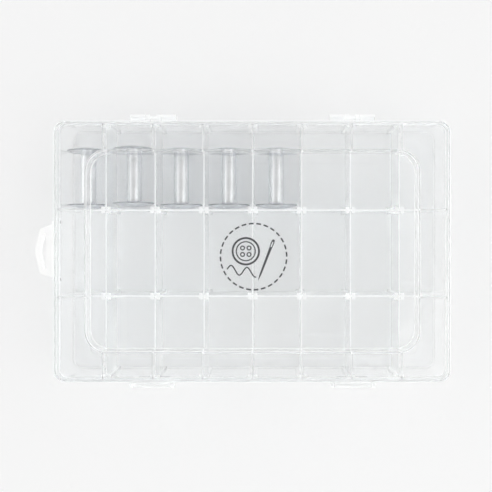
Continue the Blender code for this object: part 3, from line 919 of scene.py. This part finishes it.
def make_print(ink):
    """A generic sewing motif printed on the panel: a button, a needle and running stitches."""
    curve = bpy.data.curves.new("motif", "CURVE")
    curve.dimensions = "2D"
    curve.fill_mode = "BOTH"
    curve.extrude = PRINT_THICK / 2
    for line in stitch_ring() + button_lines() + needle_lines() + thread_line():
        spline = curve.splines.new("POLY")
        spline.points.add(len(line) - 1)
        for point, here in zip(spline.points, line):
            point.co = (here.x * MM, here.y * MM, 0, 1)
        spline.use_cyclic_u = True
    outline = bpy.data.objects.new("motif", curve)
    bpy.context.scene.collection.objects.link(outline)
    evaluated = outline.evaluated_get(bpy.context.evaluated_depsgraph_get())
    data = bpy.data.meshes.new_from_object(evaluated)
    bpy.data.objects.remove(outline)
    data.materials.clear()
    data.materials.append(ink)
    motif = bpy.data.objects.new("printed_motif", data)
    x, y = PRINT_CENTRE
    motif.location = (x * MM, y * MM, PANEL + PRINT_THICK / 2 + PRINT_LIFT)
    bpy.context.scene.collection.objects.link(motif)
    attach(motif, "lid")


# ---------------------------------------------------------------- stage
FLOOR_SIZE = 20                  # half of the stage floor's side, in metres
TOP_LIGHT = 0.60                 # strength of the studio's ceiling
SIDE_LIGHT = (0.95, 0.25, 0)     # what its sides add along X and along Y


def make_stage():
    """Plain pale floor and soft studio light."""
    mesh = bmesh.new()
    bmesh.ops.create_grid(mesh, x_segments=2, y_segments=2, size=FLOOR_SIZE)
    finish, tree, shader = material("pale_floor")
    shader.inputs["Base Color"].default_value = (0.98, 0.98, 0.98, 1)
    shader.inputs["Roughness"].default_value = 0.8
    floor = make_object("floor", mesh, finish)
    floor.location.z = -0.1 * MM

    world = bpy.data.worlds.new("studio")
    bpy.context.scene.world = world
    world.use_nodes = True
    tree = world.node_tree
    way = tree.nodes.new("ShaderNodeTexCoord").outputs["Generated"]
    square = tree.nodes.new("ShaderNodeVectorMath")
    square.operation = "MULTIPLY"
    tree.links.new(way, square.inputs[0])
    tree.links.new(way, square.inputs[1])
    sides = tree.nodes.new("ShaderNodeVectorMath")
    sides.operation = "DOT_PRODUCT"
    sides.inputs[1].default_value = SIDE_LIGHT
    tree.links.new(square.outputs["Vector"], sides.inputs[0])
    sky = tree.nodes.new("ShaderNodeMath")
    sky.inputs[1].default_value = TOP_LIGHT
    tree.links.new(sides.outputs["Value"], sky.inputs[0])
    background = tree.nodes["Background"]
    background.inputs["Color"].default_value = (1, 1, 1, 1)
    tree.links.new(sky.outputs["Value"], background.inputs["Strength"])

    lamp = bpy.data.objects.new("soft_light", bpy.data.lights.new("soft_light", "AREA"))
    lamp.data.shape = "RECTANGLE"
    lamp.data.size = 1.6
    lamp.data.size_y = 1.6
    lamp.data.energy = 3
    lamp.location = (0.9, -0.9, 1.6)
    lamp.rotation_euler = Vector(lamp.location).to_track_quat("Z", "Y").to_euler()
    bpy.context.scene.collection.objects.link(lamp)


def make_camera():
    """Looks straight down, a little off the box's centre, as a product shot does."""
    camera = bpy.data.objects.new("camera", bpy.data.cameras.new("camera"))
    camera.data.sensor_width = 36
    camera.data.lens = 46.5
    camera.data.shift_x = -0.052
    camera.data.shift_y = -0.024
    camera.location = (15.8 * MM, 14.1 * MM, 570 * MM)
    bpy.context.scene.collection.objects.link(camera)
    bpy.context.scene.camera = camera


# ---------------------------------------------------------------- the whole scene
LIGHT_BOUNCES = 128              # enough for light to cross many clear walls
bpy.context.scene.view_settings.view_transform = "Standard"
for kind in ("max", "diffuse", "glossy", "transmission"):
    setattr(bpy.context.scene.cycles, f"{kind}_bounces", LIGHT_BOUNCES)
bpy.context.scene.cycles.blur_glossy = 0
clear = {
    # how much light each part lets through, its roughness, its haze and its painted glow; the
    # milkier copies of the one plastic on upright faces, edges and bends, with their glow, are
    # painted light
    "panel": clear_plastic("clear_panel", 0.98, (0.0, 0.04), ripple=0.03),
    "wall": clear_plastic("clear_wall_painted_glow", 0.85, (0.03, 0.08), painted_glow=0.012),
    "plate": clear_plastic("milky_plate_painted_glow", 0.6, (0.06, 0.12), painted_glow=0.005),
    "rib": clear_plastic("milky_wall_painted_glow", 0.5, (0.06, 0.12), painted_glow=0.02),
    "skirt": clear_plastic("milky_skirt", 0.4, (0.06, 0.12)),
    "bend": clear_plastic("milky_bend_painted_glow", 0.4, (0.1, 0.2), painted_glow=0.04),
    "rim": clear_plastic("milky_rim_painted_glow", 0.12, (0.3, 0.4), haze=0.1, painted_glow=0.04),
    "edge": clear_plastic("frosted_edge_painted_glow", 0.12, (0.3, 0.4), haze=0.3, painted_glow=0.08),
}
make_tray(clear)
make_lid(clear)
make_dividers(clear)
make_latches(clear["rib"])
make_loop(white_plastic("white_loop_painted_glow"))
make_bobbins({
    "tube": turned_aluminium("tube_metal", "lines", (0.90, 0.91, 0.92)),
    "sheet": turned_aluminium("flange_metal", "rings", (0.80, 0.81, 0.83)),
    # painted shade: the rolled rim's metal is darker so each flange shows a dark outline
    "bead": turned_aluminium("bead_metal_painted_shade", "rings", (0.46, 0.47, 0.49)),
})
make_print(print_ink("print_ink"))
make_stage()
make_camera()
